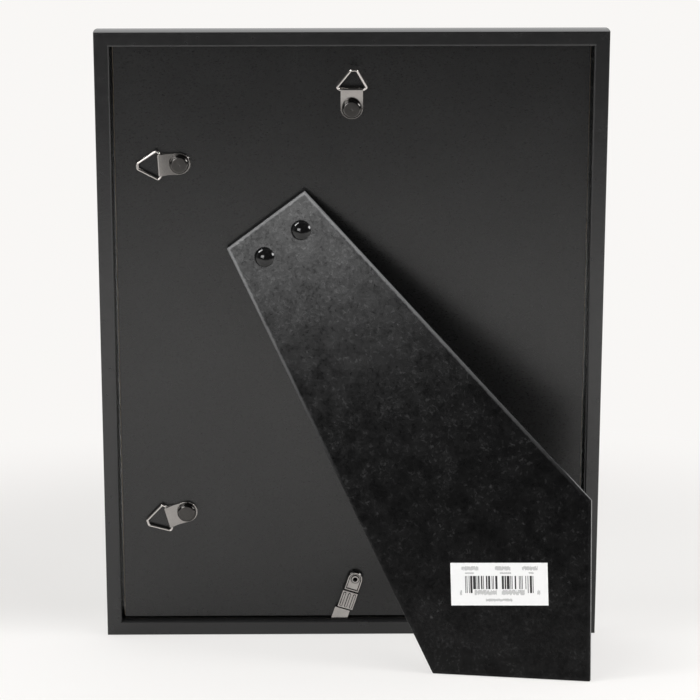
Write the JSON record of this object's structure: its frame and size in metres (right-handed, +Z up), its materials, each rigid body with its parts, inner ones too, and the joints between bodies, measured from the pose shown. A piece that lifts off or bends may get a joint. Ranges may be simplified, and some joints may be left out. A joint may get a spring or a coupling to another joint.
{
  "type": "easel back photo frame",
  "caption": "Slim black picture frame with a folding diagonal easel leg, swivel hanger rings and a turn button that holds its backing board.",
  "frame": {"origin": "on the table, under the middle of the part's box, as it stands open on its leg", "axes": "+Z up; the picture faces -Y and leans back; the back and the leg face +Y; X runs along the frame's width"},
  "size_m": [0.232, 0.0934, 0.2929],
  "materials": {
    "black_moulding": "satin black lacquer over MDF",
    "black_board": "matte black paper-faced hardboard",
    "leg_core": "hardboard lined with black paper",
    "leatherette": "black pebbled leatherette",
    "nickel": "nickel plated sheet and wire",
    "plain_steel": "zinc plated steel",
    "gloss_black_rivet": "gloss black enamel",
    "dark_rivet": "satin dark grey",
    "glass": "clear float glass",
    "insert_paper": "matte printed paper",
    "filler_card": "plain grey-brown card",
    "label_paper": "white paper sticker with plain printed bars"
  },
  "bodies": {
    "frame": {"top_rail": "black_moulding", "bottom_rail": "black_moulding", "left_rail": "black_moulding", "right_rail": "black_moulding", "corner_nails": "plain_steel", "glass_pane": "glass", "photo_insert": "insert_paper", "filler_board": "filler_card", "backing_board": "black_board", "board_hinge_leaf": "plain_steel", "board_rivets": "plain_steel", "hinge_pin": "plain_steel", "turn_button_eyelet": "nickel", "top_hanger_rivet": "dark_rivet", "upper_hanger_rivet": "dark_rivet", "lower_hanger_rivet": "dark_rivet"},
    "leg": {"easel_leg": "leg_core", "leg_cover": "leatherette", "leg_hinge_leaf": "plain_steel", "leg_rivets": "gloss_black_rivet", "label": "label_paper"},
    "turn_button": {"turn_button": "nickel"},
    "top_hanger": {"top_hanger_strap": "nickel"},
    "top_ring": {"top_hanger_ring": "nickel"},
    "upper_hanger": {"upper_hanger_strap": "nickel"},
    "upper_ring": {"upper_hanger_ring": "nickel"},
    "lower_hanger": {"lower_hanger_strap": "nickel"},
    "lower_ring": {"lower_hanger_ring": "nickel"}
  },
  "joints": [
    {"name": "easel_fold", "type": "hinge", "parent": "frame", "child": "leg", "pos_m": [0.0338, -0.00685, 0.19793], "axis": [-0.7923, 0.0923, 0.6031], "range_deg": [0, 18]},
    {"name": "turn_button_swivel", "type": "hinge", "parent": "frame", "child": "turn_button", "pos_m": [-0.0018, -0.03423, 0.02822], "axis": [0, 0.9885, -0.1513], "continuous": true},
    {"name": "top_hanger_swivel", "type": "hinge", "parent": "frame", "child": "top_hanger", "pos_m": [0, 0.00077, 0.25696], "axis": [0, 0.9885, -0.1513], "continuous": true},
    {"name": "top_ring_flip", "type": "hinge", "parent": "top_hanger", "child": "top_ring", "pos_m": [0, 0.00336, 0.26546], "axis": [-1, 0, 0], "range_deg": [-19, 119]},
    {"name": "upper_hanger_swivel", "type": "hinge", "parent": "frame", "child": "upper_hanger", "pos_m": [0.07845, -0.00316, 0.23126], "axis": [0, 0.9885, -0.1513], "continuous": true},
    {"name": "upper_ring_flip", "type": "hinge", "parent": "upper_hanger", "child": "upper_ring", "pos_m": [0.08724, -0.00198, 0.23061], "axis": [0.0523, 0.1511, 0.9871], "range_deg": [-3, 135]},
    {"name": "lower_hanger_swivel", "type": "hinge", "parent": "frame", "child": "lower_hanger", "pos_m": [0.07755, -0.02904, 0.06212], "axis": [0, 0.9885, -0.1513], "continuous": true},
    {"name": "lower_ring_flip", "type": "hinge", "parent": "lower_hanger", "child": "lower_ring", "pos_m": [0.08601, -0.02815, 0.05953], "axis": [0.2756, 0.1454, 0.9502], "range_deg": [-3, 135]}
  ]
}
